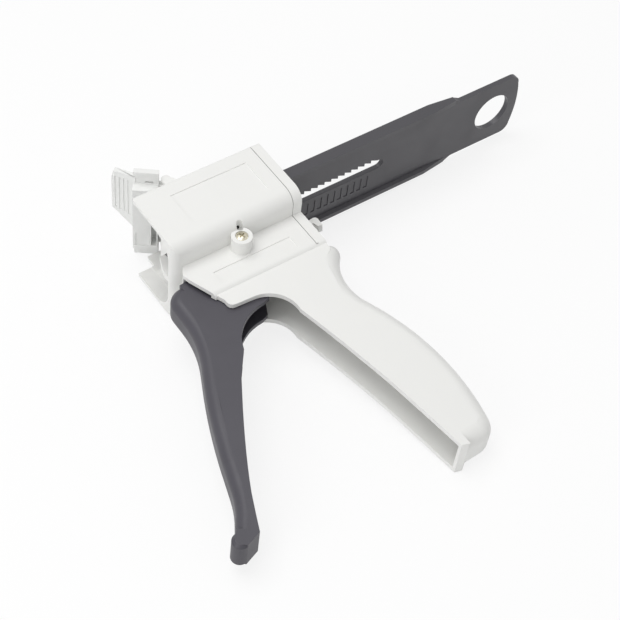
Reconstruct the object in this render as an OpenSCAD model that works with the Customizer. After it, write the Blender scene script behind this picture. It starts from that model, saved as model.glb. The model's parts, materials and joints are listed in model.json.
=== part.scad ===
// Two-cartridge applicator gun (caulking gun), built as an assembly.
// X runs rearward along the plunger, Y towards the top of the gun, Z sideways
// (the gun lies on its -Z side). X = 0 is the nose, Y = 0 the plunger axis.

/* [Housing] */
// Width of the box section across the gun
box_w = 48.4; // [47.6:0.1:49.2]
// Height of the box top above the plunger axis
box_top = 21.8; // [21.4:0.1:22.4]
// Depth of the box floor below the plunger axis
box_low = 15.3; // [15:0.1:15.6]
// Corner radius along the lower edges of the box
bulge_r = 6.5; // [5.5:0.1:7]
// Corner radius along the top edges of the box
top_r = 2.5; // [1.5:0.1:3]
// Wall thickness of the box section
wall = 2.2; // [2:0.05:2.4]
// Distance from the nose to the side cover's rear edge
cover_len = 63.4; // [63:0.1:63.8]
// Distance from the nose to the rear face of the collar
box_len = 68; // [67.6:0.1:68.4]
// Width of the lower panel section
panel_w = 23; // [22.6:0.1:23.6]
// Open seam between side cover and collar
seam = 0.35; // [0.2:0.05:0.5]
// Depth of the label recesses
label_d = 0.35; // [0.2:0.05:0.5]
// Length of the upper label recess
label_l = 40; // [36:0.5:42]
// Height of the upper label recess
label_h = 18.3; // [16:0.1:19]

/* [Nose] */
// Front face of the nose wall
nose_x = 0.5; // [0.3:0.1:0.8]
// Front of the slot that takes the cartridge flange
slot_x0 = 7.7; // [7.5:0.1:7.9]
// Rear of the slot that takes the cartridge flange
slot_x1 = 10.4; // [10.2:0.1:10.6]
// Distance between the two cartridge axes
barrel_pitch = 24; // [23.8:0.1:24.2]
// Width of the finger between the cartridges
finger_w = 3.4; // [3:0.1:3.8]
// Radius of each cartridge saddle
saddle_r = 10.3; // [10.1:0.1:10.5]
// Radius of the bores the piston heads start in
guide_r = 9.6; // [9.55:0.05:9.7]
// Rear end of the open top over the nose
mouth_x = 18.6; // [18.4:0.1:19.2]

/* [Handle] */
// Width of the handle
grip_w = 20.8; // [20.4:0.1:21.2]
// Width of the channel inside the handle
channel_w = 16; // [15.8:0.1:16.4]
// Thickness of the handle's back wall
back_wall = 2.6; // [2.4:0.1:2.9]
// Radius of the two rounded back edges
grip_r = 7; // [6.8:0.1:7.2]

/* [Trigger] */
// Width of the trigger
trigger_w = 15.2; // [14.8:0.1:15.3]
// Wall thickness of the trigger
trigger_wall = 2.4; // [2.2:0.1:2.6]
// Radius of the two rounded front edges
trigger_r = 4.5; // [4.2:0.1:4.8]
// Pivot position behind the nose
pivot_x = 33; // [32.9:0.05:33.1]
// Pivot position below the plunger axis
pivot_y = 19; // [18.9:0.05:19.1]
// Face of the pivot screw's boss, from the middle of the gun
boss_z = 19.2; // [19:0.1:19.6]
// Outer radius of the pivot bush
bush_r = 4; // [3.9:0.05:4.1]
// Running clearance of the pivot
pivot_fit = 0.06; // [0.04:0.01:0.08]
// Distance from the pivot to the drive pin
drive_arm = 10; // [9.9:0.05:10.1]
// Radius of the drive pin
drive_pin_r = 1.5; // [1.4:0.05:1.6]

/* [Plunger] */
// Width of the plunger
plunger_w = 42.4; // [42:0.1:42.8]
// Height of the plunger's edge flanges
plunger_h = 6.1; // [6:0.05:6.2]
// Start of the plunger's prongs behind the nose
prong_x = 15.5; // [15.3:0.1:15.7]
// Overall end of the plunger behind the nose
plunger_end = 211; // [209:0.5:213]
// Tooth pitch of the rack
pitch = 3.9; // [3.85:0.01:3.95]
// Number of teeth
teeth = 26; // [26:1:26]
// Depth of each tooth
tooth_d = 1.9; // [1.8:0.05:2]
// Far edge of the centre slot
slot_far = 2.7; // [2.6:0.05:2.8]
// Tooth tips on the near edge of the centre slot
slot_near = 3.2; // [3.15:0.05:3.25]
// Radius of the hanging hole
hole_r = 10.5; // [10:0.1:11]
// Thickness of the plate round the hanging hole
ring_t = 2.6; // [2.4:0.1:3]
// Radius of the piston heads
piston_r = 9.2; // [9.1:0.05:9.25]

/* [Latch] */
// Width of the latch
latch_w = 57.2; // [56:0.2:58]
// Width of the block that drops between the side walls
latch_block_w = 39.8; // [39:0.2:40.4]
// Height of that block
latch_block_h = 4.8; // [4.4:0.1:5]
// Radius of the latch pin
latch_pin_r = 1.2; // [1.1:0.05:1.3]

/* [Part] */
// Node to build, or all of them

/* [Hidden] */
$fn = 64;
eps = 0.02;
hw = box_w / 2;
in_w = hw - wall;
phw = panel_w / 2;
pin_w = phw - wall;
ghw = grip_w / 2;
chw = channel_w / 2;
thw = trigger_w / 2;
ihw = thw - trigger_wall;
bz = barrel_pitch / 2;
px = pivot_x;
py = -pivot_y;
swing = 36;
fit = pivot_fit;
// back of the handle: hollow under the tail, then the long swell, then the heel
c1 = [90.4, -60.5];
r1 = 26;
c2 = [-43.6, -118.75];
r2 = 120.1;
ct = [67.7, -39.4];
rt = 5;
cb = [65.1, -146.1];
rb = 8;
a_join = 23.5;
a_tail = 137;
a_heel = -14.1;
a_low = -88;
low_len = 10;
// front of the trigger: brow, hollow, swell, lower hollow
t1 = [-0.2, -28.9];
s1 = 8.2;
s2 = 55;
t2 = [t1[0] - s1 - s2, -36];
a2 = 26.2;
mid_len = 6;
s3 = 291;
t3 = t2 + (s2 + s3) * [cos(a2), -sin(a2)] + mid_len * [-sin(a2), -cos(a2)];
a3 = 17.5;
p3 = t3 - s3 * [cos(a3), -sin(a3)];
low_run = 13;
s4 = 43;
t4 = p3 + low_run * [-sin(a3), -cos(a3)] - s4 * [cos(a3), -sin(a3)];
a4 = 33;
tip_len = 7;
p4 = t4 + s4 * [cos(a4), -sin(a4)];
p5 = p4 + tip_len * [-sin(a4), -cos(a4)];
// toe of the trigger
toe = p5 + [-0.8, -5];
toe_r = 3.8;
// drive geometry
pin_a = 90 - swing / 2;
dpx = px + drive_arm * cos(pin_a);
dpy = py + drive_arm * sin(pin_a);
stroke = 2 * drive_arm * sin(swing / 2);
// rack
last_tooth = 119.3;
tooth_x = last_tooth - 22 * pitch;
// latch pose: hinge and tilt of the raised latch
lx = 20.5;
ly = 24.2;
latch_tilt = 36.2;
// release lever
rx = box_len - 6;
rz = -2;
press = 8;
pawl_x = 48;
pawl_z = -0.6;
pawl_pin_r = 1;

function arc(c, r, a, b, n = 10) = [for (i = [0:n]) c + r * [cos(a + (b - a) * i / n), sin(a + (b - a) * i / n)]];
function bez(a, b, c, n = 10) = [for (i = [0:n]) let (t = i / n) (1 - t) * (1 - t) * a + 2 * t * (1 - t) * b + t * t * c];

module slab(w) { linear_extrude(height = w, center = true) children(); }
module along_x(x0, x1) { translate([x0, 0, 0]) rotate([90, 0, 90]) linear_extrude(height = x1 - x0) children(); }
module box(a, b) { translate(a) cube(b - a); }
module zrod(x, y, z0, z1, r) { translate([x, y, z0]) cylinder(h = z1 - z0, r = r); }
module yrod(x, z, y0, y1, r) { translate([x, y0, z]) rotate([-90, 0, 0]) cylinder(h = y1 - y0, r = r); }
module xrod(y, z, x0, x1, r) { translate([x0, y, z]) rotate([0, 90, 0]) cylinder(h = x1 - x0, r = r); }

module rounded(y0, y1, w, ru, rl) {
  translate([y0 + rl, -w]) square([y1 - y0 - rl - ru, 2 * w]);
  translate([y0, -w + rl]) square([rl + eps, 2 * (w - rl)]);
  translate([y1 - ru - eps, -w + ru]) square([ru + eps, 2 * (w - ru)]);
  for (s = [-1, 1]) {
    translate([y0 + rl, s * (w - rl)]) circle(r = rl);
    translate([y1 - ru, s * (w - ru)]) circle(r = ru);
  }
}

// swept tube through a list of points, round about the given reference direction
module tube(pts, r, ref = [0, 0, 1], k = 8) {
  n = len(pts);
  ring = [for (i = [0:n - 1]) let (
    a = pts[max(i - 1, 0)], b = pts[min(i + 1, n - 1)],
    t = (b - a) / norm(b - a), u0 = cross(t, ref), u = u0 / norm(u0), v = cross(u, t))
    each [for (j = [0:k - 1]) pts[i] + r * (cos(360 * j / k) * u + sin(360 * j / k) * v)]];
  faces = concat(
    [[for (j = [0:k - 1]) j]],
    [for (i = [0:n - 2]) for (j = [0:k - 1]) [i * k + j, (i + 1) * k + j, (i + 1) * k + (j + 1) % k, i * k + (j + 1) % k]],
    [[for (j = [k - 1:-1:0]) (n - 1) * k + j]]);
  polyhedron(points = ring, faces = faces, convexity = 6);
}
function helix(R, pitch_, turns, a0 = 0, z0 = 0, s = 14, way = 1) =
  [for (i = [0:round(turns * s)]) [R * cos(a0 + way * 360 * i / s), R * sin(a0 + way * 360 * i / s), z0 + pitch_ * i / s]];

// ---------------------------------------------------------------- housing
module upper_outer() {
  difference() {
    along_x(nose_x, box_len) rounded(-box_low, box_top, hw, top_r, bulge_r);
    translate([nose_x, box_top, 0]) slab(box_w + 2) difference() {
      translate([-1, -3.2]) square([4.2, 4.2]);
      translate([3.2, -3.2]) circle(r = 3.2);
    }
    // rounded lower front corner
    translate([nose_x, -box_low, 0]) slab(box_w + 2) difference() {
      translate([-1, -1]) square([5.2, 5.2]);
      translate([4.2, 4.2]) circle(r = 4.2);
    }
  }
}
module lower_outer() {
  intersection() {
    along_x(1, box_len) rounded(-36.4, -8, phw, 1, 3);
    slab(panel_w + 2) polygon([[4.9, -8], [4.9, -15], [2.4, -19.6], [3.2, -22.8], [7.2, -32.6], [9.4, -38], [box_len, -38], [box_len, -8]]);
  }
}
module grip_core() {
  slab(grip_w) polygon(concat(
    [[7.8, -32], [11, -39.8]],
    arc([14, -41.1], 3, 180, 265, 6),
    [[22.2, -44.6]],
    arc([22.2, -58.9], 14.3, 84, -8, 12),
    bez([36.6, -62], [42, -84], [46.9, -112]), bez([46.9, -112], [50, -133], [52.6, -153.5], 8),
    [[55.6, -154.4], [56.2, -154.4]],
    [cb + (rb - 6.5) * [cos(a_low), sin(a_low)] + (low_len - 1) * [sin(a_low), -cos(a_low)]],
    arc(cb, rb - 6.5, a_low, a_heel, 3),
    arc(c2, r2 - 8, a_heel, a_join, 16),
    arc(c1, r1 + 8, 180 + a_join, 180 + 8, 6),
    [[60, -52], [62, -41], [62, -34]]));
}
// profile of the handle's back, measured in from the back; g sets it in a little
module back_2d(depth, g = 0) {
  w = ghw - g;
  difference() {
    translate([g, -w]) square([depth - g, 2 * w]);
    for (s = [0, 1]) mirror([0, s, 0]) translate([g - 1, w - grip_r]) difference() {
      square([grip_r + 1, grip_r + 1]);
      translate([grip_r + 1, 0]) circle(r = grip_r);
    }
  }
}
module grip_back() {
  // hollow, tucked into tail and swell
  translate([c1[0], c1[1], 0]) rotate([0, 0, a_tail]) rotate_extrude(angle = 181 + a_join - a_tail)
    translate([r1, 0]) back_2d(9, 0.03);
  // swell
  translate([c2[0], c2[1], 0]) rotate([0, 0, a_heel]) rotate_extrude(angle = a_join - a_heel, $fn = 360)
    translate([r2, 0]) mirror([1, 0]) back_2d(9);
  // heel, tucked into swell and underside
  translate([cb[0], cb[1], 0]) rotate([0, 0, a_low - 3]) rotate_extrude(angle = a_heel - a_low + 6)
    translate([rb, 0]) mirror([1, 0]) back_2d(7.5, 0.03);
  // underside
  translate([cb[0], cb[1], 0]) rotate([0, 0, a_low]) rotate([90, 0, 0]) linear_extrude(height = low_len)
    translate([rb, 0]) mirror([1, 0]) back_2d(9);
  // tail under the collar
  translate([ct[0], ct[1], 0]) rotate([0, 0, a_tail - 180]) rotate_extrude(angle = 270 - a_tail)
    translate([rt, 0]) mirror([1, 0]) back_2d(rt - 0.05);
  zrod(ct[0], ct[1], -ghw + 0.42, ghw - 0.42, 0.3);
}
module tail_fill() {
  // joins tail, hollow and collar
  slab(grip_w) polygon([[50, -34.45], [ct[0], -34.45], ct, c1 + (r1 + 7.5) * [cos(150), sin(150)], c1 + (r1 + 7.5) * [cos(170), sin(170)], [50, -56]]);
}
module grip_outer() {
  grip_core();
  grip_back();
  tail_fill();
}
module bosses() {
  zrod(px, py, 2, boss_z, 4.85);
  zrod(px, py, -21, -2, 5.25);
}
module outer() {
  upper_outer();
  lower_outer();
  grip_outer();
  bosses();
}
module upper_cavity() {
  // main room behind the nose
  along_x(13, box_len - 3) rounded(-box_low + wall, box_top - wall, in_w, 1, bulge_r - wall);
  // open mouth over the nose
  box([nose_x - 1, 17.4, -in_w], [mouth_x, box_top + 1, in_w]);
  // flange slot
  along_x(slot_x0, slot_x1) rounded(-12.4, 18, in_w, 0.5, 3);
}
module nose_cuts() {
  // cartridge saddles and the way in from above
  for (s = [-1, 1]) {
    xrod(0, s * bz, nose_x - 1, slot_x0 + eps, saddle_r);
    box([nose_x - 1, 0, s * bz - saddle_r], [slot_x0 + eps, 18, s * bz + saddle_r]);
    xrod(0, s * bz, slot_x1 - eps, 13.1, guide_r);
  }
  difference() {
    box([nose_x - 1, -saddle_r, -bz], [slot_x0 + eps, 18, bz]);
    // finger between the cartridges
    slab(finger_w) polygon([[-2, -20], [-0.3, -10.8], [1.1, -4.6], [3.8, 2.2], [6.2, 1.2], [6.6, -0.9], [2.4, -10.2], [2.6, -20]]);
  }
  box([nose_x - 1, 3.5, -in_w], [slot_x0 + eps, 18, in_w]);
  // lowered top of the wall behind the flange slot
  box([slot_x1 - eps, 12, -in_w], [13.1, 18, in_w]);
  box([slot_x1 - eps, -plunger_h / 2 - 0.4, -plunger_w / 2 - 0.4], [13.1, plunger_h / 2 + 0.4, plunger_w / 2 + 0.4]);
}
module lower_cavity() {
  slab(2 * pin_w) polygon([[-6, -19.8], [5.4, -19.8], [5.4, -box_low - 0.3], [13, -box_low - 0.3], [13, -10], [box_len - 3, -10], [box_len - 3, -34], [-6, -34]]);
  slab(2 * chw) polygon(concat(
    [[-6, -20], [box_len - 5.5, -20], [box_len - 3, -34], [68.6, -37.4], [67.9, -43]],
    arc(c1, r1 + 5.4, 150, 180 + a_join, 8),
    arc(c2, r2 - 5.4, a_join, a_heel, 16),
    [cb + (rb - back_wall) * [cos(a_low), sin(a_low)], cb + (rb - back_wall) * [cos(a_low), sin(a_low)] + 8 * [sin(a_low), -cos(a_low)]],
    [[55.5, -151.9], [46, -152.2], [30, -120], [-6, -60]]));
  slab(2 * chw - 4.4) polygon(concat(
    arc(c1, r1 + back_wall, 152, 180 + a_join, 8),
    arc(c2, r2 - back_wall, a_join, a_heel, 16),
    arc(cb, rb - back_wall, a_heel, a_low, 4),
    [[56, -140], [50, -70], [58, -47]]));
}
module windows() {
  // plunger window and lever window in the collar
  box([box_len - 3.1, -plunger_h / 2 - 0.4, -plunger_w / 2 - 0.4], [box_len + 1, plunger_h / 2 + 0.4, plunger_w / 2 + 0.4]);
  box([box_len - 3.1, -18.6, rz - 6], [box_len + 1, -14.4, rz + 6]);
}
module post(x, y, w) {
  zrod(x, y, -w, w, 3.2);
}
module inner_parts() {
  // screw posts
  post(24, 13.5, hw - 1);
  post(58, 13.5, hw - 1);
  post(55.5, -70, ghw - 0.6);
  post(64, -140, ghw - 0.6);
  // shelves that carry the plunger and keep the carriage down
  for (s = [-1, 1]) mirror([0, 0, s < 0 ? 1 : 0]) {
    box([prong_x + 1, -6.2, 11.6], [65.5, -plunger_h / 2 - 0.4, hw - 1]);
    box([12.5, -13.8, 9.6], [65.5, -11, 12.6]);
  }
  // bridge under the release lever
  box([rx - 4.5, -22.6, -phw + 0.5], [box_len - 2.5, -17.9, 0]);
  // tubes that clamp the pivot bush
  for (s = [-1, 1]) mirror([0, 0, s < 0 ? 1 : 0]) zrod(px, py, 8.1, 12, 5.25);
}
module latch_lugs() {
  for (s = [-1, 1]) for (z = [8, 21.2]) translate([0, 0, s * z]) slab(3) polygon(concat(
    [[16.6 + 2.2, box_top - 1], [lx - 2.3, ly]], arc([lx, ly], 2.3, 180, 0, 10), [[lx + 4.6, box_top - 1]]));
}
module holes() {
  // pivot screw: head recess, shank, nut pocket
  zrod(px, py, boss_z - 1.7, boss_z + 1, 2.95);
  zrod(px, py, -22, 22, 1.6);
  translate([px, py, -22]) cylinder(h = 3.6, r = 3.3, $fn = 6);
  // notch above the boss
  zrod(px + 1.7, -14.6, 17, 26, 1.7);
  // screws from the far side
  for (p = [[24, 13.5, hw], [58, 13.5, hw], [55.5, -70, ghw], [64, -140, ghw]]) {
    zrod(p[0], p[1], -p[2] - 1, -p[2] + 2.2, 2.8);
    zrod(p[0], p[1], -p[2] - 1, 8, 1.3);
  }
  // latch pin
  zrod(lx, ly, -23, 22, latch_pin_r + 0.01);
  // release pin
  yrod(rx, rz, -21.5, -17, 1.5);
  // label recesses
  translate([36 - label_l / 2, 4.2 - label_h / 2, hw - label_d]) cube([label_l, label_h, 2]);
  box([14.5, -32, phw - label_d], [55, -25, phw + 2]);
}
module shell() {
  difference() {
    union() {
      difference() {
        outer();
        upper_cavity();
        nose_cuts();
        lower_cavity();
      }
      intersection() { inner_parts(); union() { upper_outer(); lower_outer(); grip_outer(); } }
      latch_lugs();
    }
    windows();
    holes();
    // lower far lip of the nose
    box([-1, 15.4, -hw - 1], [9.2, box_top + 1, -in_w + eps]);
    // bush seat
    zrod(px, py, -8, 8, 30 * 0 + bush_r + 0.5);
  }
}
module near_region(g = 0) {
  slab_h = 40;
  translate([0, 0, slab_h / 2 + g]) linear_extrude(height = slab_h, center = true) polygon([
    [-10, 40], [cover_len - g, 40], [cover_len - g, -34.45 - g], [90, -34.45 - g], [90, -170], [-10, -170]]);
}
module main_shell() { color([0.94, 0.94, 0.93]) difference() { shell(); near_region(); } }
module side_cover() { color([0.94, 0.94, 0.93]) intersection() { shell(); difference() { near_region(); box([cover_len - seam, -34.8, -1], [cover_len + 1, 40, 40]); } } }

// ---------------------------------------------------------------- trigger
module trig_profile() {
  polygon(concat(
    arc(t1, s1 - 0.2, 90, 180, 8),
    arc(t2, s2 + 0.2, 0, -a2, 8),
    arc(t3, s3 - 0.2, 180 - a2, 180 - a3, 10),
    arc(t4, s4 + 0.2, -a3, -a4, 6),
    [p5 + [0.2, -0.1]], arc(toe, toe_r - 1.4, 150, 250, 5),
    [toe + [0.9, -3.7], toe + [8, -1.2], [-35.6, -134.4]], bez([-31.6, -125.1], [-22, -105], [-4, -75.9], 8),
    arc([27.6, -71.6], 23.9, 163, 92, 10),
    [[30, -46.5], [36.5, -33], [px + 6.4, py - 2], [px + 6, py + 0.5], [px, py + 2]]));
}
module trig_front(depth, g = 0) {
  // rounded front profile, measured in from the front; g sets it back a little
  w = thw - g;
  difference() {
    translate([g, -w]) square([depth - g, 2 * w]);
    for (s = [0, 1]) mirror([0, s, 0]) translate([g - 1, w - trigger_r]) difference() {
      square([trigger_r + 1, trigger_r + 1]);
      translate([trigger_r + 1, 0]) circle(r = trigger_r);
    }
  }
}
module trig_outer() {
  difference() {
    slab(trigger_w) trig_profile();
    // strip the square front edge, the swept edge replaces it
    slab(trigger_w + 1) {
      difference() { translate([t1[0] - 20, t1[1]]) square([20, 20]); translate(t1) circle(r = s1 - 5); }
      translate([t1[0] - s1 - 3.6, t2[1] - 0.1]) square([3.6 + 5, t1[1] - t2[1] + 0.2]);
      translate(t2) circle(r = s2 + 5);
      translate(t2) rotate([0, 0, -a2]) translate([s2 - 5, -mid_len - 0.6]) square([9.6, mid_len + 1.1]);
      difference() {
        polygon([[-60, -58], t3 + (s3 + 1) * [-cos(a2 + 0.1), sin(a2 + 0.1)], t3, t3 + (s3 + 1) * [-cos(a3 - 0.1), sin(a3 - 0.1)], [-60, -115]]);
        translate(t3) circle(r = s3 - 5, $fn = 200);
      }
      translate(p3) rotate([0, 0, -a3]) translate([-5, -low_run - 0.7]) square([9.6, low_run + 1.3]);
      intersection() { translate(t4) circle(r = s4 + 5); polygon([t4, t4 + (s4 + 10) * [cos(a3 - 1), -sin(a3 - 1)], t4 + (s4 + 16) * [cos((a3 + a4) / 2), -sin((a3 + a4) / 2)], t4 + (s4 + 10) * [cos(a4), -sin(a4)]]); }
      translate(p4) rotate([0, 0, -a4]) translate([-5, -tip_len]) square([10, tip_len + 0.3]);
    }
  }
}
module trig_run(p, a, l) {
  // straight run of the front from p, tucked into the arcs at both ends
  translate([p[0], p[1], 0]) rotate([0, 0, -a]) translate([0, -l - 0.5, 0]) rotate([-90, 0, 0])
    linear_extrude(height = l + 1) trig_front(5.6, 0.03);
}
module trig_skin() {
  translate([t1[0], t1[1], 0]) rotate([0, 0, 88]) rotate_extrude(angle = 92) translate([s1, 0]) mirror([1, 0]) trig_front(6);
  trig_run([t1[0] - s1, t1[1]], 0, t1[1] - t2[1]);
  translate([t2[0], t2[1], 0]) rotate([0, 0, -a2]) rotate_extrude(angle = a2, $fn = 180) translate([s2, 0]) trig_front(6);
  trig_run(t2 + s2 * [cos(a2), -sin(a2)], a2, mid_len);
  translate([t3[0], t3[1], 0]) rotate([0, 0, 180 - a2]) rotate_extrude(angle = a2 - a3, $fn = 360) translate([s3, 0]) mirror([1, 0]) trig_front(6);
  trig_run(p3, a3, low_run);
  translate([t4[0], t4[1], 0]) rotate([0, 0, -a4]) rotate_extrude(angle = a4 - a3, $fn = 180) translate([s4, 0]) trig_front(6);
  trig_run(p4, a4, tip_len - 0.5);
  // toe with chamfered rims
  for (s = [0, 1]) mirror([0, 0, s]) {
    translate([toe[0], toe[1], 0]) cylinder(h = thw - 1.4, r = toe_r);
    translate([toe[0], toe[1], thw - 1.4]) cylinder(h = 1.38, r1 = toe_r, r2 = toe_r - 1.4);
  }
}
module trigger() {
  color([0.2, 0.19, 0.22]) difference() {
    union() {
      difference() {
        union() { trig_outer(); trig_skin(); }
        // hollow, open to the rear
        slab(2 * ihw) polygon(concat(
          arc(t1, s1 - trigger_wall, 180, 90, 8), [[px, -19.6], [60, -19.6], [60, -60], [10, -90], [-20, -136], p5 + [12, -1.2], p5 + [3.4, -1.2]],
          [p4 + trigger_wall * [cos(a4), -sin(a4)]],
          arc(t4, s4 + trigger_wall, -a4, -a3, 5),
          arc(t3, s3 - trigger_wall, 180 - a3, 180 - a2, 8),
          arc(t2, s2 + trigger_wall, -a2, 0, 6)));
      }
      // hub and drive arm
      zrod(px, py, -thw, thw, 6.2);
      intersection() {
        slab(2 * thw) union() {
          polygon([[px - 4.6, py + 2], [dpx - 2.3, dpy], [dpx + 2.3, dpy], [px + 5.6, py]]);
          translate([dpx, dpy]) circle(r = 2.3);
        }
        box([0, -30, -2.2], [60, 0, 3.4]);
      }
    }
    zrod(px, py, -10, 10, bush_r + fit);
    zrod(dpx, dpy, -10, 10, drive_pin_r);
    // groove the return spring's coil turns in
    difference() { zrod(px, py, -5.4, -1.4, 8.4); zrod(px, py, -6, -1, 6.4); }
  }
}
module pivot_bush() { color([0.7, 0.71, 0.73]) difference() { zrod(px, py, -8.1, 8.1, bush_r); zrod(px, py, -9, 9, 1.6); } }
module pivot_screw() {
  color([0.75, 0.73, 0.66]) difference() {
    union() {
      zrod(px, py, -20.6, boss_z - 1.69, 1.5);
      zrod(px, py, boss_z - 1.7, boss_z - 0.4, 2.8);
      intersection() { zrod(px, py, boss_z - 0.5, boss_z + 0.3, 2.8); translate([px, py, boss_z - 4.1]) sphere(r = 4.4); }
    }
    for (a = [0, 90]) translate([px, py, boss_z]) rotate([0, 0, a + 20]) cube([3.2, 0.7, 1.6], center = true);
  }
}
module pivot_nut() {
  color([0.75, 0.73, 0.66]) difference() {
    translate([px, py, -20.9]) cylinder(h = 2.4, r = 3.15, $fn = 6);
    zrod(px, py, -25, -15, 1.55);
  }
}
module drive_pin() { color([0.7, 0.71, 0.73]) zrod(dpx, dpy, -7.2, 7.2, drive_pin_r); }

// ---------------------------------------------------------------- drive
module carriage() {
  color([0.25, 0.25, 0.27]) difference() {
    union() {
      for (s = [-1, 1]) mirror([0, 0, s < 0 ? 1 : 0]) box([27, -10.8, 4], [41.4, -6.4, 11.2]);
      box([27, -10.8, -11.2], [30.4, -7.6, 11.2]);
      box([41.3, -10.8, -2.2], [56, -6.4, 11.2]);
    }
    box([dpx - drive_pin_r - 0.06, -12, -7.6], [dpx + drive_pin_r + 0.06, -7.1, 7.6]);
    yrod(pawl_x, pawl_z, -12, 0, pawl_pin_r);
  }
}
module pawl() {
  color([0.7, 0.71, 0.73]) difference() {
    union() {
      // flat body beside the slot
      translate([0, -3.65, 0]) rotate([90, 0, 0]) linear_extrude(height = 2.5) union() {
        polygon([[tooth_x + 0.1, -1.6], [tooth_x + 0.1, 2.5], [pawl_x, pawl_z + 3], [pawl_x, -2.5], [tooth_x + 5, -2.2]]);
        difference() {
          translate([pawl_x, pawl_z]) circle(r = 3);
          translate([pawl_x - 4, -8]) square([8, 5.5]);
        }
        translate([pawl_x, -2.5]) square([7, 3]);
      }
      // tooth that rises into the slot
      translate([0, 2.2, 0]) rotate([90, 0, 0]) linear_extrude(height = 7)
        polygon([[tooth_x + 0.15, -1.4], [tooth_x + 0.15, 2.85], [tooth_x + 3.3, 1.3], [tooth_x + 3.3, -1.4]]);
    }
    yrod(pawl_x, pawl_z, -12, 0, pawl_pin_r + fit);
  }
}
module pawl_pin() { color([0.7, 0.71, 0.73]) { yrod(pawl_x, pawl_z, -10.6, -3.5, pawl_pin_r); } }
module pawl_spring() {
  color([0.6, 0.61, 0.63]) translate([pawl_x, -11.2, pawl_z]) rotate([90, 0, 0])
    tube(concat([[-7, 2.3, 0]], helix(2.3, 0.75, 3, 90), [[7, 2.3, 2.25]]), 0.3, k = 6);
}
module trigger_spring() {
  color([0.6, 0.61, 0.63]) translate([px, py, -4.6])
    tube(concat([[-24, -3.9, 0]], helix(7.2, 1.15, 29 / 14, 250), [[27, -4.3, 2.4]]), 0.5, k = 8);
}

// ---------------------------------------------------------------- plunger
module plunger_side() {
  polygon([[prong_x, -50], [prong_x, 50], [300, 50], [300, -50]]);
}
module plunger_2d() {
  w = plunger_w / 2;
  h = plunger_h / 2;
  p = ring_t / 2;
  polygon([
    [-h, -w], [h, -w], [h, -w + 2.4], [p, -w + 3], [p, w - 3], [h, w - 2.4],
    [h, w], [-h, w], [-h, w - 2.4], [-p, w - 3], [-p, -w + 3], [-h, -w + 2.4]]);
}
module plunger() {
  w = plunger_w / 2;
  h = plunger_h / 2;
  color([0.25, 0.25, 0.27]) difference() {
    union() {
      along_x(prong_x, 168) plunger_2d();
      // blocks for the piston screws
      for (s = [-1, 1]) translate([prong_x, -h, s * bz - 5]) cube([11, 2 * h, 10]);
      // bevel to the hanging plate
      translate([0, 0, 0]) rotate([90, 0, 0]) linear_extrude(height = ring_t - 0.02, center = true) polygon([
        [160, -14], [160, 14], [167, w - 0.2], [168, w - 0.2], [172, 18.7], [172, -18.7], [168, -w + 0.2], [167, -w + 0.2]]);
      rotate([90, 0, 0]) linear_extrude(height = ring_t, center = true) difference() {
        union() {
          translate([166, -18.7]) square([plunger_end - 1.6 - 5 - 166, 37.4]);
          translate([166, -13.7]) square([plunger_end - 1.6 - 166, 27.4]);
          for (s = [-1, 1]) translate([plunger_end - 1.6 - 5, s * 13.7]) circle(r = 5);
          intersection() {
            translate([plunger_end - 60, 0]) circle(r = 60, $fn = 180);
            translate([plunger_end - 6, -13.2]) square([8, 26.4]);
          }
        }
        translate([195, 0]) circle(r = hole_r);
      }
    }
    // flange tops slope down to the plate
    for (s = [0, 1]) mirror([0, s, 0]) slab(60) polygon([[154, h + 1], [154, h], [168.2, ring_t / 2 + 0.04], [180, ring_t / 2 + 0.04], [180, h + 1]]);
    // centre slot
    rotate([90, 0, 0]) linear_extrude(height = 20, center = true) union() {
      translate([prong_x - 1, -slot_far]) square([127 - 2.95 - prong_x + 1, slot_far + slot_near]);
      translate([127 - 2.95, (slot_near - slot_far) / 2]) circle(r = (slot_far + slot_near) / 2);
      for (k = [0:teeth - 1]) translate([last_tooth - k * pitch, 0])
        polygon([[0, slot_near - 1], [0, slot_near + tooth_d], [pitch, slot_near], [pitch, slot_near - 1]]);
    }
    // shallow ribs beside the slot
    for (k = [1:13]) translate([last_tooth - k * pitch + 1.2, -ring_t / 2 - 0.3, -12.6]) cube([2.2, 0.6, 7.6]);
    // screw holes for the piston heads
    for (s = [-1, 1]) xrod(0, s * bz, prong_x - 1, prong_x + 9, 1.2);
  }
}
module piston(s) {
  color([0.25, 0.25, 0.27]) difference() {
    union() {
      xrod(0, s * bz, 11.6, prong_x, piston_r);
      xrod(0, s * bz, 11, 11.7, piston_r - 0.8);
    }
    xrod(0, s * bz, 10, 13.4, 2.9);
    xrod(0, s * bz, 10, 20, 1.6);
  }
}
module piston_near() { piston(1); }
module piston_far() { piston(-1); }
module piston_screw(s) {
  color([0.75, 0.73, 0.66]) difference() {
    union() {
      xrod(0, s * bz, 11.6, 13.4, 2.7);
      xrod(0, s * bz, 13.3, prong_x + 8, 1.2);
    }
    for (a = [0, 90]) translate([11.6, 0, s * bz]) rotate([a, 0, 0]) cube([1.6, 3.2, 0.7], center = true);
  }
}
module piston_screw_near() { piston_screw(1); }
module piston_screw_far() { piston_screw(-1); }

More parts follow.
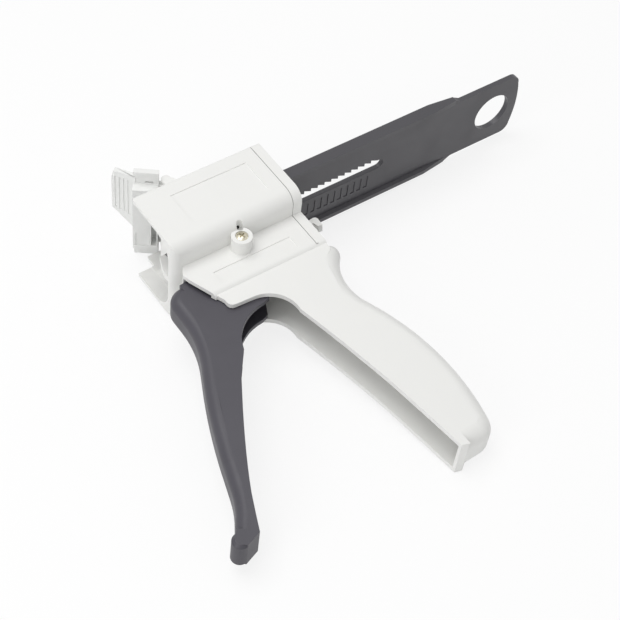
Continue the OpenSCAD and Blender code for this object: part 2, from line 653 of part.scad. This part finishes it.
// ---------------------------------------------------------------- latch
// drawn shut (flat over the nose), then raised about its pin
module latch_shape() {
  bw = latch_block_w / 2;
  lw = latch_w / 2;
  y0 = -1.1;
  difference() {
    union() {
      box([-14.7, y0, -lw], [-3.2, y0 + 2.6, lw - 2]);
      box([-14.7, y0 - latch_block_h, -bw], [-3.2, y0 + 0.5, bw]);
      // knuckles
      for (s = [-1, 1]) translate([0, 0, s * 14.8]) slab(9.2) polygon(concat([[-4, y0 + 2.6], [-4, y0]], arc([0, 0], 2.1, -120, 90, 10)));
      // thumb piece
      slab_z = 23.7;
      translate([-14.4, y0 + 2.4, 0]) rotate([0, 0, -17.5]) rotate([90, 0, 0]) linear_extrude(height = 2.4) polygon([
        [1.5, -11.5], [1.5, slab_z], [-9.2, slab_z], [-10.2, 19.5], [-10.2, -0.5]]);
    }
    // pocket along the rear edge, and a relief in the face
    box([-6.2, y0 - latch_block_h - 1, -17], [-3.8, y0 + 0.4, 17]);
    box([-13.4, y0 - latch_block_h - 1, -17.6], [-7.4, y0 - latch_block_h + 0.4, -9]);
    // slot beside the block
    box([-9.2, y0 - 1, bw + 0.3], [-5.6, y0 + 1.2, bw + 1.5]);
    // grip grooves
    for (i = [0:3]) translate([-14.4, y0 + 2.4, 0]) rotate([0, 0, -17.5]) translate([-8.6 + i * 2.1, -3, 0.5 - i]) cube([0.9, 1, 20 + i]);
    zrod(0, 0, -30, 30, latch_pin_r + fit);
  }
}
module latch() { color([0.84, 0.85, 0.84]) translate([lx, ly, 0]) rotate([0, 0, -latch_tilt]) latch_shape(); }
module latch_pin() { color([0.7, 0.71, 0.73]) zrod(lx, ly, -22.6, 21.8, latch_pin_r); }
module latch_spring() {
  R = latch_pin_r + 0.65;
  color([0.6, 0.61, 0.63]) translate([lx, ly, -2.5])
    tube(concat([[7, -R, 0]], helix(R, 1, 71 / 14, 270, 0, 14, -1), [[-3.75, -0.18, 5.1]]), 0.3, k = 6);
}

// ---------------------------------------------------------------- release lever
module release_lever() {
  fx0 = 42.4;
  fx1 = rx - 7;
  z1 = -2.62;
  color([0.94, 0.94, 0.93]) difference() {
    translate([rx, 0, rz]) rotate([0, -press, 0]) translate([-rx, 0, -rz]) union() {
      box([fx0, -17.7, z1 - 2.2], [fx1, -4, z1]);
      box([fx1 - 3, -17.7, z1 - 2.2], [rx, -15.3, z1 + 2]);
      translate([0, -15.3, 0]) rotate([90, 0, 0]) linear_extrude(height = 2.4) translate([rx, rz]) circle(r = 3.2);
      slab_tab();
    }
    yrod(rx, rz, -22, -10, 1.5 + fit);
  }
}
module slab_tab() {
  translate([0, 0, rz]) box([rx, -17.7, -2], [box_len + 8, -15.3, 2]);
  translate([0, 0, -1.5]) slab(5) polygon(concat([[box_len + 3, -17.7], [box_len + 3, -15.6]], arc([box_len + 7.8, -17.2], 1.9, 90, 0, 6), [[box_len + 9.4, -21], [box_len + 7.4, -20.6], [box_len + 6.6, -17.7]]));
}
module release_pin() { color([0.7, 0.71, 0.73]) { yrod(rx, rz, -21.3, -14.9, 1.5); yrod(rx, rz, -15, -14.2, 2.3); } }
module release_spring() {
  color([0.6, 0.61, 0.63]) translate([rx - 4.4, -16.5, 1.6])
    tube(helix(1.7, 1.6, 4.5), 0.28, k = 6);
}

// ---------------------------------------------------------------- fixings
module far_screw(x, y, w, l) {
  color([0.75, 0.73, 0.66]) difference() {
    union() {
      zrod(x, y, -w + 0.4, -w + 2.2, 2.6);
      zrod(x, y, -w + 2.1, -w + l, 1.25);
    }
    for (a = [0, 90]) translate([x, y, -w + 0.4]) rotate([0, 0, a]) cube([3.2, 0.7, 1.6], center = true);
  }
}
module top_screw_front() { far_screw(24, 13.5, hw, 30); }
module top_screw_rear() { far_screw(58, 13.5, hw, 30); }
module grip_screw_upper() { far_screw(55.5, -70, ghw, 16); }
module grip_screw_lower() { far_screw(64, -140, ghw, 16); }

main_shell();
side_cover();
trigger();
pivot_bush();
pivot_screw();
pivot_nut();
drive_pin();
carriage();
pawl();
pawl_pin();
pawl_spring();
trigger_spring();
plunger();
piston_near();
piston_far();
piston_screw_near();
piston_screw_far();
latch();
latch_pin();
latch_spring();
release_lever();
release_pin();
release_spring();
top_screw_front();
top_screw_rear();
grip_screw_upper();
grip_screw_lower();
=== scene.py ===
"""Looks of a two-barrel cartridge applicator gun, built round its CAD frame."""

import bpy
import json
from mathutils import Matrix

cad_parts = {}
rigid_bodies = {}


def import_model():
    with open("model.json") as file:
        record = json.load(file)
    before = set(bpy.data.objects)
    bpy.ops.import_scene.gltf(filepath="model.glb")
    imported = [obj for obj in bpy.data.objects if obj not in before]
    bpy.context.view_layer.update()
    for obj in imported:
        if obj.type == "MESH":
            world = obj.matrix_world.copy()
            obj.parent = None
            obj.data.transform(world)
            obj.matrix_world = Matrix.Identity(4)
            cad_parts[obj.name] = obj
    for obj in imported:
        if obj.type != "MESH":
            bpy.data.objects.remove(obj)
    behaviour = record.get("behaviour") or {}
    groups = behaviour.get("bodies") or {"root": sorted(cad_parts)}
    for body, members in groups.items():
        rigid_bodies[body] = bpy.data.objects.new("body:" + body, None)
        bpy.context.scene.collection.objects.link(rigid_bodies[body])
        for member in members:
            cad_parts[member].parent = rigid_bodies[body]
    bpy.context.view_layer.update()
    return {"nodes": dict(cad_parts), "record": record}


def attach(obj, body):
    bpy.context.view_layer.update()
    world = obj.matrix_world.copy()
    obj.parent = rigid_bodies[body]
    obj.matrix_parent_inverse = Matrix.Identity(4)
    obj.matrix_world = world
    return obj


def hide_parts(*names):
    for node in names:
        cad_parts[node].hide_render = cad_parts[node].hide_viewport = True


bl_info = {
    "name": "Cartridge Gun Looks",
    "version": (1, 0, 0),
    "blender": (4, 5, 0),
    "location": "View3D > Sidebar > Gun",
    "description": "Rounds the mouldings of a two-barrel cartridge gun and gives every piece its finish",
    "category": "Object",
}

import json
import math

import bpy
from mathutils import Matrix, Vector

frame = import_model()
NODES = frame["nodes"]
MM = 0.001
# sockets of a colour Mix node
MIX_A, MIX_B, MIX_RESULT = 6, 7, 2
# mesh cleaning: plain doubles, and the tiny steps where swept edges meet
FINE_WELD = 0.004 * MM
STEP_WELD = 0.045 * MM
FLAT_ANGLE = math.radians(0.6)
# edges sharper than this are rounded, in so many segments
BEVEL_ANGLE = math.radians(30)
BEVEL_SEGMENTS = 2
FLAT_WEIGHT = 80
# plane the gun lies on: latch, butt and the box's lower edge touch it
FLOOR_NORMAL = Vector((-0.0215, 0.0967, 1.0))
FLOOR_POINT = Vector((0.0, 0.0, -0.02656))
FLOOR_SIZE = 6.0
# lamps: place, aim and disk size, all in metres
OVERHEAD_LAMP = (-0.15, 0.25, 1.1), (0.05, -0.05, 0.0), 0.9
NOSE_LAMP = (-1.0, -0.3, 0.6), (0.0, -0.05, 0.0), 0.7
# camera: place, and its right and up directions
EYE_PLACE = Vector((-0.2252, -0.3687, 0.5185))
EYE_RIGHT = Vector((0.8168, -0.5710, 0.0825))
EYE_UP = Vector((0.4082, 0.6730, 0.6169))
SENSOR_WIDTH = 36.0
SMALL_PIECE_ANGLE = math.radians(40)

HOUSING = ("main_shell", "side_cover")
WHITE = ("release_lever",)
DARK = ("carriage",)
PISTONS = ("piston_near", "piston_far")
PLAIN_STEEL = ("pivot_bush", "drive_pin", "pawl", "pawl_pin", "latch_pin")
ZINC = (
    "pivot_screw", "pivot_nut", "piston_screw_near", "piston_screw_far", "release_pin",
    "top_screw_front", "top_screw_rear", "grip_screw_upper", "grip_screw_lower",
)
WIRE = ("pawl_spring", "trigger_spring", "latch_spring", "release_spring")


# ---------------------------------------------------------------- settings


class GunFinishSettings(bpy.types.PropertyGroup):
    """Colours and surface of the mouldings and fixings"""

    housing_colour: bpy.props.FloatVectorProperty(
        name="Housing colour", description="Off-white of the two shells",
        subtype="COLOR", size=3, default=(0.83, 0.83, 0.81), min=0, max=1)
    latch_colour: bpy.props.FloatVectorProperty(
        name="Latch colour", description="Pale grey of the hinged latch",
        subtype="COLOR", size=3, default=(0.83, 0.835, 0.82), min=0, max=1)
    trigger_colour: bpy.props.FloatVectorProperty(
        name="Trigger colour", description="Blue-grey black of the trigger",
        subtype="COLOR", size=3, default=(0.058, 0.055, 0.068), min=0, max=1)
    plunger_colour: bpy.props.FloatVectorProperty(
        name="Plunger colour", description="Charcoal of the plunger and its piston heads",
        subtype="COLOR", size=3, default=(0.058, 0.056, 0.064), min=0, max=1)
    steel_colour: bpy.props.FloatVectorProperty(
        name="Steel colour", description="Bare ground steel of pins and pawl",
        subtype="COLOR", size=3, default=(0.56, 0.56, 0.57), min=0, max=1)
    zinc_colour: bpy.props.FloatVectorProperty(
        name="Zinc colour", description="Pale yellow zinc of the screws",
        subtype="COLOR", size=3, default=(0.66, 0.62, 0.50), min=0, max=1)
    grain_size: bpy.props.FloatProperty(
        name="Grain size", description="Size of the spark-eroded grain on the mouldings",
        default=0.35 * MM, min=0.1 * MM, max=2 * MM, unit="LENGTH", precision=5)


class GunEdgeSettings(bpy.types.PropertyGroup):
    """Edge radii of the mouldings"""

    shell_edge: bpy.props.FloatProperty(
        name="Shell edge", description="Edge radius of the housing shells",
        default=0.35 * MM, min=0.05 * MM, max=1 * MM, unit="LENGTH", precision=5)
    trigger_edge: bpy.props.FloatProperty(
        name="Trigger edge", description="Edge radius of the trigger",
        default=0.45 * MM, min=0.05 * MM, max=1 * MM, unit="LENGTH", precision=5)
    plunger_edge: bpy.props.FloatProperty(
        name="Plunger edge", description="Edge radius of the plunger",
        default=0.3 * MM, min=0.05 * MM, max=0.6 * MM, unit="LENGTH", precision=5)
    latch_edge: bpy.props.FloatProperty(
        name="Latch edge", description="Edge radius of the latch",
        default=0.25 * MM, min=0.05 * MM, max=0.6 * MM, unit="LENGTH", precision=5)
    smooth_angle: bpy.props.FloatProperty(
        name="Smooth angle", description="Edges flatter than this are shaded smooth",
        subtype="ANGLE", default=math.radians(34), min=0, max=math.pi)


class GunStageSettings(bpy.types.PropertyGroup):
    """Floor, lamps and camera"""

    floor_colour: bpy.props.FloatVectorProperty(
        name="Floor colour", description="Colour of the plain floor",
        subtype="COLOR", size=3, default=(0.93, 0.93, 0.93), min=0, max=1)
    floor_glow: bpy.props.FloatProperty(
        name="Floor glow", description="Share of plain white the camera sees in the floor",
        default=0.8, min=0, max=1)
    key_power: bpy.props.FloatProperty(
        name="Key lamp", description="Power of the large overhead lamp", default=6.4, min=0)
    side_power: bpy.props.FloatProperty(
        name="Side lamp", description="Power of the lamp beside the nose", default=3.4, min=0)
    sky_level: bpy.props.FloatProperty(
        name="Sky level", description="Strength of the even light from all round", default=0.5, min=0)
    lens: bpy.props.FloatProperty(
        name="Lens", description="Focal length of the camera", default=87.1, min=10, max=300, unit="CAMERA")


# ---------------------------------------------------------------- helpers


def deselect():
    if bpy.context.object and bpy.context.object.mode != "OBJECT":
        bpy.ops.object.mode_set(mode="OBJECT")
    bpy.ops.object.select_all(action="DESELECT")


def pick(obj):
    deselect()
    obj.select_set(True)
    bpy.context.view_layer.objects.active = obj


def wear(obj, material):
    """Gives an object one material in all its slots."""
    obj.data.materials.clear()
    obj.data.materials.append(material)


def rounded_copy(node, name, edge, angle, material, weld=FINE_WELD):
    """A moulding with softened edges in place of a sharp CAD node."""
    deselect()
    source = NODES[node]
    source.hide_set(False)
    pick(source)
    bpy.ops.object.duplicate()
    piece = bpy.context.view_layer.objects.active
    bpy.ops.object.parent_clear(type="CLEAR_KEEP_TRANSFORM")
    piece.name = name
    piece.data.name = name
    for key in list(piece.keys()):
        if key.startswith("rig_"):
            del piece[key]
    bpy.ops.object.mode_set(mode="EDIT")
    bpy.ops.mesh.select_all(action="SELECT")
    bpy.ops.mesh.remove_doubles(threshold=weld)
    bpy.ops.mesh.customdata_custom_splitnormals_clear()
    bpy.ops.mesh.dissolve_limited(angle_limit=FLAT_ANGLE)
    bpy.ops.object.mode_set(mode="OBJECT")
    bevel = piece.modifiers.new("edges", "BEVEL")
    bevel.width = edge
    bevel.segments = BEVEL_SEGMENTS
    bevel.limit_method = "ANGLE"
    bevel.angle_limit = BEVEL_ANGLE
    bevel.use_clamp_overlap = True
    bevel.harden_normals = False
    bpy.ops.object.modifier_apply(modifier=bevel.name)
    bpy.ops.object.shade_smooth_by_angle(angle=angle)
    flat = piece.modifiers.new("flat faces", "WEIGHTED_NORMAL")
    flat.keep_sharp = True
    flat.weight = FLAT_WEIGHT
    bpy.ops.object.modifier_apply(modifier=flat.name)
    wear(piece, material)
    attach(piece, frame_body(node))
    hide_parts(node)
    return piece


def frame_body(node):
    for body, members in frame["record"]["behaviour"]["bodies"].items():
        if node in members:
            return body
    raise RuntimeError(f"no body holds {node}")


# ---------------------------------------------------------------- finishes


def moulded_surface():
    """Node group: fine spark grain, faint flow mottling and a rubbed sheen."""
    group = bpy.data.node_groups.new("Moulded Surface", "ShaderNodeTree")
    face = group.interface
    for label, start in (
        ("Grain Scale", 2800), ("Mottle Scale", 45), ("Colour", None),
        ("Mottle", 0.04), ("Least Roughness", 0.38), ("Most Roughness", 0.5),
    ):
        kind = "NodeSocketColor" if start is None else "NodeSocketFloat"
        socket = face.new_socket(label, in_out="INPUT", socket_type=kind)
        if start is not None:
            socket.default_value = start
    face.new_socket("Colour", in_out="OUTPUT", socket_type="NodeSocketColor")
    face.new_socket("Roughness", in_out="OUTPUT", socket_type="NodeSocketFloat")
    face.new_socket("Height", in_out="OUTPUT", socket_type="NodeSocketFloat")
    nodes, link = group.nodes, group.links.new
    given = nodes.new("NodeGroupInput")
    out = nodes.new("NodeGroupOutput")
    place = nodes.new("ShaderNodeTexCoord")
    grain = nodes.new("ShaderNodeTexNoise")
    grain.inputs["Detail"].default_value = 2
    grain.inputs["Roughness"].default_value = 0.55
    flow = nodes.new("ShaderNodeTexNoise")
    flow.inputs["Detail"].default_value = 4
    flow.inputs["Distortion"].default_value = 0.6
    link(place.outputs["Object"], grain.inputs["Vector"])
    link(place.outputs["Object"], flow.inputs["Vector"])
    link(given.outputs["Grain Scale"], grain.inputs["Scale"])
    link(given.outputs["Mottle Scale"], flow.inputs["Scale"])
    spread = nodes.new("ShaderNodeMapRange")
    spread.inputs["From Min"].default_value = 0.3
    spread.inputs["From Max"].default_value = 0.7
    link(flow.outputs["Fac"], spread.inputs["Value"])
    shade = nodes.new("ShaderNodeMath")
    shade.operation = "MULTIPLY"
    link(spread.outputs["Result"], shade.inputs[0])
    link(given.outputs["Mottle"], shade.inputs[1])
    darker = nodes.new("ShaderNodeMix")
    darker.data_type = "RGBA"
    darker.blend_type = "MULTIPLY"
    link(shade.outputs[0], darker.inputs[0])
    link(given.outputs["Colour"], darker.inputs[MIX_A])
    darker.inputs[MIX_B].default_value = (0.55, 0.55, 0.55, 1)
    rough = nodes.new("ShaderNodeMapRange")
    link(flow.outputs["Fac"], rough.inputs["Value"])
    rough.inputs["From Min"].default_value = 0.3
    rough.inputs["From Max"].default_value = 0.7
    link(given.outputs["Least Roughness"], rough.inputs["To Min"])
    link(given.outputs["Most Roughness"], rough.inputs["To Max"])
    link(darker.outputs[MIX_RESULT], out.inputs["Colour"])
    link(rough.outputs["Result"], out.inputs["Roughness"])
    link(grain.outputs["Fac"], out.inputs["Height"])
    return group


def moulding(name, surface, colour, grain, depth, rough, mottle):
    """A moulded plastic of one colour."""
    material = bpy.data.materials.new(name)
    material.use_nodes = True
    nodes, link = material.node_tree.nodes, material.node_tree.links.new
    shader = nodes["Principled BSDF"]
    shader.inputs["Metallic"].default_value = 0.0
    shader.inputs["IOR"].default_value = 1.5
    use = nodes.new("ShaderNodeGroup")
    use.node_tree = surface
    use.inputs["Grain Scale"].default_value = 1.0 / grain
    use.inputs["Colour"].default_value = (*colour, 1)
    use.inputs["Mottle"].default_value = mottle
    use.inputs["Least Roughness"].default_value = rough[0]
    use.inputs["Most Roughness"].default_value = rough[1]
    bump = nodes.new("ShaderNodeBump")
    bump.inputs["Strength"].default_value = 0.5
    bump.inputs["Distance"].default_value = depth
    link(use.outputs["Height"], bump.inputs["Height"])
    link(use.outputs["Colour"], shader.inputs["Base Color"])
    link(use.outputs["Roughness"], shader.inputs["Roughness"])
    link(bump.outputs["Normal"], shader.inputs["Normal"])
    return material


def metal(name, colour, rough, stretch, tarnish):
    """A drawn, turned or plated metal with fine tool lines and a little tarnish."""
    material = bpy.data.materials.new(name)
    material.use_nodes = True
    nodes, link = material.node_tree.nodes, material.node_tree.links.new
    shader = nodes["Principled BSDF"]
    shader.inputs["Metallic"].default_value = 1.0
    place = nodes.new("ShaderNodeTexCoord")
    turn = nodes.new("ShaderNodeMapping")
    turn.inputs["Scale"].default_value = stretch
    lines = nodes.new("ShaderNodeTexNoise")
    lines.inputs["Scale"].default_value = 900
    lines.inputs["Detail"].default_value = 3
    link(place.outputs["Object"], turn.inputs["Vector"])
    link(turn.outputs["Vector"], lines.inputs["Vector"])
    spots = nodes.new("ShaderNodeTexNoise")
    spots.inputs["Scale"].default_value = 420
    spots.inputs["Detail"].default_value = 5
    link(place.outputs["Object"], spots.inputs["Vector"])
    tone = nodes.new("ShaderNodeValToRGB")
    tone.color_ramp.elements[0].position = 0.35
    tone.color_ramp.elements[0].color = (*[c * (1 - tarnish) for c in colour], 1)
    tone.color_ramp.elements[1].position = 0.65
    tone.color_ramp.elements[1].color = (*colour, 1)
    link(spots.outputs["Fac"], tone.inputs["Fac"])
    link(tone.outputs["Color"], shader.inputs["Base Color"])
    sheen = nodes.new("ShaderNodeMapRange")
    sheen.inputs["From Min"].default_value = 0.3
    sheen.inputs["From Max"].default_value = 0.7
    sheen.inputs["To Min"].default_value = rough[0]
    sheen.inputs["To Max"].default_value = rough[1]
    link(lines.outputs["Fac"], sheen.inputs["Value"])
    link(sheen.outputs["Result"], shader.inputs["Roughness"])
    bump = nodes.new("ShaderNodeBump")
    bump.inputs["Strength"].default_value = 0.3
    bump.inputs["Distance"].default_value = 0.01 * MM
    link(lines.outputs["Fac"], bump.inputs["Height"])
    link(bump.outputs["Normal"], shader.inputs["Normal"])
    return material


class GUN_OT_finishes(bpy.types.Operator):
    """Make the plastics and metals and put them on the small CAD pieces"""

    bl_idname = "gun.finishes"
    bl_label = "Finishes"

    def execute(self, context):
        look = context.scene.gun_finish
        grain = look.grain_size
        surface = moulded_surface()
        fine, coarse = 0.012 * MM, 0.02 * MM
        moulding("housing plastic", surface, look.housing_colour, grain, fine, (0.40, 0.50), 0.03)
        moulding("latch plastic", surface, look.latch_colour, grain, fine, (0.42, 0.52), 0.05)
        moulding("trigger plastic", surface, look.trigger_colour, grain * 1.2, coarse, (0.42, 0.50), 0.18)
        moulding("plunger plastic", surface, look.plunger_colour, grain * 1.4, coarse, (0.30, 0.42), 0.25)
        metal("ground steel", look.steel_colour, (0.22, 0.34), (1, 1, 0.08), 0.12)
        metal("zinc plate", look.zinc_colour, (0.2, 0.36), (1, 1, 0.3), 0.2)
        metal("spring wire", [c * 0.75 for c in look.steel_colour], (0.28, 0.4), (1, 1, 1), 0.2)
        for names, finish in (
            (WHITE, "housing plastic"), (DARK, "plunger plastic"), (PISTONS, "plunger plastic"),
            (PLAIN_STEEL, "ground steel"), (ZINC, "zinc plate"), (WIRE, "spring wire"),
        ):
            for name in names:
                wear(NODES[name], bpy.data.materials[finish])
                pick(NODES[name])
                bpy.ops.object.shade_smooth_by_angle(angle=SMALL_PIECE_ANGLE)
        deselect()
        return {"FINISHED"}


# ---------------------------------------------------------------- mouldings


class GUN_OT_housing(bpy.types.Operator):
    """Round the edges of the two housing shells"""

    bl_idname = "gun.housing"
    bl_label = "Housing shells"

    def execute(self, context):
        edge = context.scene.gun_edges
        white = bpy.data.materials["housing plastic"]
        for node in HOUSING:
            rounded_copy(node, node + "_moulding", edge.shell_edge, edge.smooth_angle,
                         white, weld=STEP_WELD)
        return {"FINISHED"}


class GUN_OT_trigger(bpy.types.Operator):
    """Round the edges of the trigger"""

    bl_idname = "gun.trigger"
    bl_label = "Trigger"

    def execute(self, context):
        edge = context.scene.gun_edges
        rounded_copy("trigger", "trigger_moulding", edge.trigger_edge, edge.smooth_angle,
                     bpy.data.materials["trigger plastic"], weld=STEP_WELD)
        return {"FINISHED"}


class GUN_OT_plunger(bpy.types.Operator):
    """Round the edges of the plunger and its two piston heads"""

    bl_idname = "gun.plunger"
    bl_label = "Plunger"

    def execute(self, context):
        edge = context.scene.gun_edges
        dark = bpy.data.materials["plunger plastic"]
        for node in ("plunger", *PISTONS):
            rounded_copy(node, node + "_moulding", edge.plunger_edge, edge.smooth_angle,
                         dark)
        return {"FINISHED"}


class GUN_OT_latch(bpy.types.Operator):
    """Round the edges of the hinged latch"""

    bl_idname = "gun.latch"
    bl_label = "Latch"

    def execute(self, context):
        edge = context.scene.gun_edges
        rounded_copy("latch", "latch_moulding", edge.latch_edge, edge.smooth_angle,
                     bpy.data.materials["latch plastic"])
        return {"FINISHED"}


# ---------------------------------------------------------------- stage


def ray_shader(material_tree, lit, seen, share):
    """Mixes in a plain white for camera, glossy and transmission rays."""
    nodes, link = material_tree.nodes, material_tree.links.new
    path = nodes.new("ShaderNodeLightPath")
    first = nodes.new("ShaderNodeMath")
    first.operation = "MAXIMUM"
    link(path.outputs["Is Camera Ray"], first.inputs[0])
    link(path.outputs["Is Glossy Ray"], first.inputs[1])
    both = nodes.new("ShaderNodeMath")
    both.operation = "MAXIMUM"
    link(first.outputs[0], both.inputs[0])
    link(path.outputs["Is Transmission Ray"], both.inputs[1])
    part = nodes.new("ShaderNodeMath")
    part.operation = "MULTIPLY"
    part.inputs[1].default_value = share
    link(both.outputs[0], part.inputs[0])
    mix = nodes.new("ShaderNodeMixShader")
    link(part.outputs[0], mix.inputs["Fac"])
    link(lit, mix.inputs[1])
    link(seen, mix.inputs[2])
    return mix


def soft_lamp(name, place, aim, size, power):
    lamp = bpy.data.lights.new(name, "AREA")
    lamp.shape = "DISK"
    lamp.size = size
    lamp.energy = power
    holder = bpy.data.objects.new(name, lamp)
    bpy.context.scene.collection.objects.link(holder)
    holder.location = place
    holder.rotation_euler = (Vector(aim) - Vector(place)).to_track_quat("-Z", "Y").to_euler()
    return holder


class GUN_OT_stage(bpy.types.Operator):
    """Set up the plain floor, the soft lamps and the camera"""

    bl_idname = "gun.stage"
    bl_label = "Stage"

    def execute(self, context):
        look = context.scene.gun_stage
        scene = context.scene
        # floor under the points the gun rests on
        tilt = FLOOR_NORMAL.normalized().to_track_quat("Z", "Y").to_matrix().to_4x4()
        deselect()
        bpy.ops.mesh.primitive_plane_add(size=FLOOR_SIZE, location=(0, 0, 0))
        floor = bpy.context.object
        floor.name = "floor"
        floor.data.transform(Matrix.Translation(FLOOR_POINT) @ tilt)
        paper = bpy.data.materials.new("white paper")
        paper.use_nodes = True
        tree = paper.node_tree
        shader = tree.nodes["Principled BSDF"]
        shader.inputs["Base Color"].default_value = (*look.floor_colour, 1)
        shader.inputs["Roughness"].default_value = 0.8
        shader.inputs["Specular IOR Level"].default_value = 0.2
        glow = tree.nodes.new("ShaderNodeEmission")
        glow.inputs["Strength"].default_value = 1.0
        mix = ray_shader(tree, shader.outputs[0], glow.outputs[0], look.floor_glow)
        tree.links.new(mix.outputs[0], tree.nodes["Material Output"].inputs["Surface"])
        wear(floor, paper)
        # sky
        world = bpy.data.worlds.new("studio")
        scene.world = world
        world.use_nodes = True
        tree = world.node_tree
        sky = tree.nodes["Background"]
        sky.inputs["Color"].default_value = (1, 1, 1, 1)
        sky.inputs["Strength"].default_value = look.sky_level
        white = tree.nodes.new("ShaderNodeBackground")
        white.inputs["Color"].default_value = (1, 1, 1, 1)
        white.inputs["Strength"].default_value = 1.0
        mix = ray_shader(tree, sky.outputs[0], white.outputs[0], 1.0)
        tree.links.new(mix.outputs[0], tree.nodes["World Output"].inputs["Surface"])
        # lamps
        soft_lamp("overhead lamp", *OVERHEAD_LAMP, look.key_power)
        soft_lamp("nose lamp", *NOSE_LAMP, look.side_power)
        # camera
        eye = bpy.data.cameras.new("camera")
        eye.lens = look.lens
        eye.sensor_width = SENSOR_WIDTH
        eye.clip_start = 0.01
        eye.clip_end = 20.0
        camera = bpy.data.objects.new("camera", eye)
        scene.collection.objects.link(camera)
        back = EYE_RIGHT.cross(EYE_UP).normalized()
        upward = back.cross(EYE_RIGHT).normalized()
        right = upward.cross(back).normalized()
        turn = Matrix((right, upward, back)).transposed().to_4x4()
        camera.matrix_world = Matrix.Translation(EYE_PLACE) @ turn
        scene.camera = camera
        scene.view_settings.view_transform = "Standard"
        return {"FINISHED"}


class GUN_PT_panel(bpy.types.Panel):
    """Builds the gun's looks step by step"""

    bl_label = "Cartridge Gun"
    bl_idname = "GUN_PT_panel"
    bl_space_type = "VIEW_3D"
    bl_region_type = "UI"
    bl_category = "Gun"

    def draw(self, context):
        column = self.layout.column()
        for group in (context.scene.gun_finish, context.scene.gun_edges, context.scene.gun_stage):
            for name in type(group).__annotations__:
                column.prop(group, name)
        for step in STEPS:
            column.operator(step)


STEPS = ("gun.finishes", "gun.housing", "gun.trigger", "gun.plunger", "gun.latch", "gun.stage")
CLASSES = (
    GunFinishSettings, GunEdgeSettings, GunStageSettings,
    GUN_OT_finishes, GUN_OT_housing, GUN_OT_trigger, GUN_OT_plunger, GUN_OT_latch, GUN_OT_stage,
    GUN_PT_panel,
)


def register():
    for cls in CLASSES:
        bpy.utils.register_class(cls)
    bpy.types.Scene.gun_finish = bpy.props.PointerProperty(type=GunFinishSettings)
    bpy.types.Scene.gun_edges = bpy.props.PointerProperty(type=GunEdgeSettings)
    bpy.types.Scene.gun_stage = bpy.props.PointerProperty(type=GunStageSettings)


def unregister():
    del bpy.types.Scene.gun_finish
    del bpy.types.Scene.gun_edges
    del bpy.types.Scene.gun_stage
    for cls in reversed(CLASSES):
        bpy.utils.unregister_class(cls)


def main():
    register()
    bpy.ops.gun.finishes()
    bpy.ops.gun.housing()
    bpy.ops.gun.trigger()
    bpy.ops.gun.plunger()
    bpy.ops.gun.latch()
    bpy.ops.gun.stage()


if __name__ == "__main__":
    main()
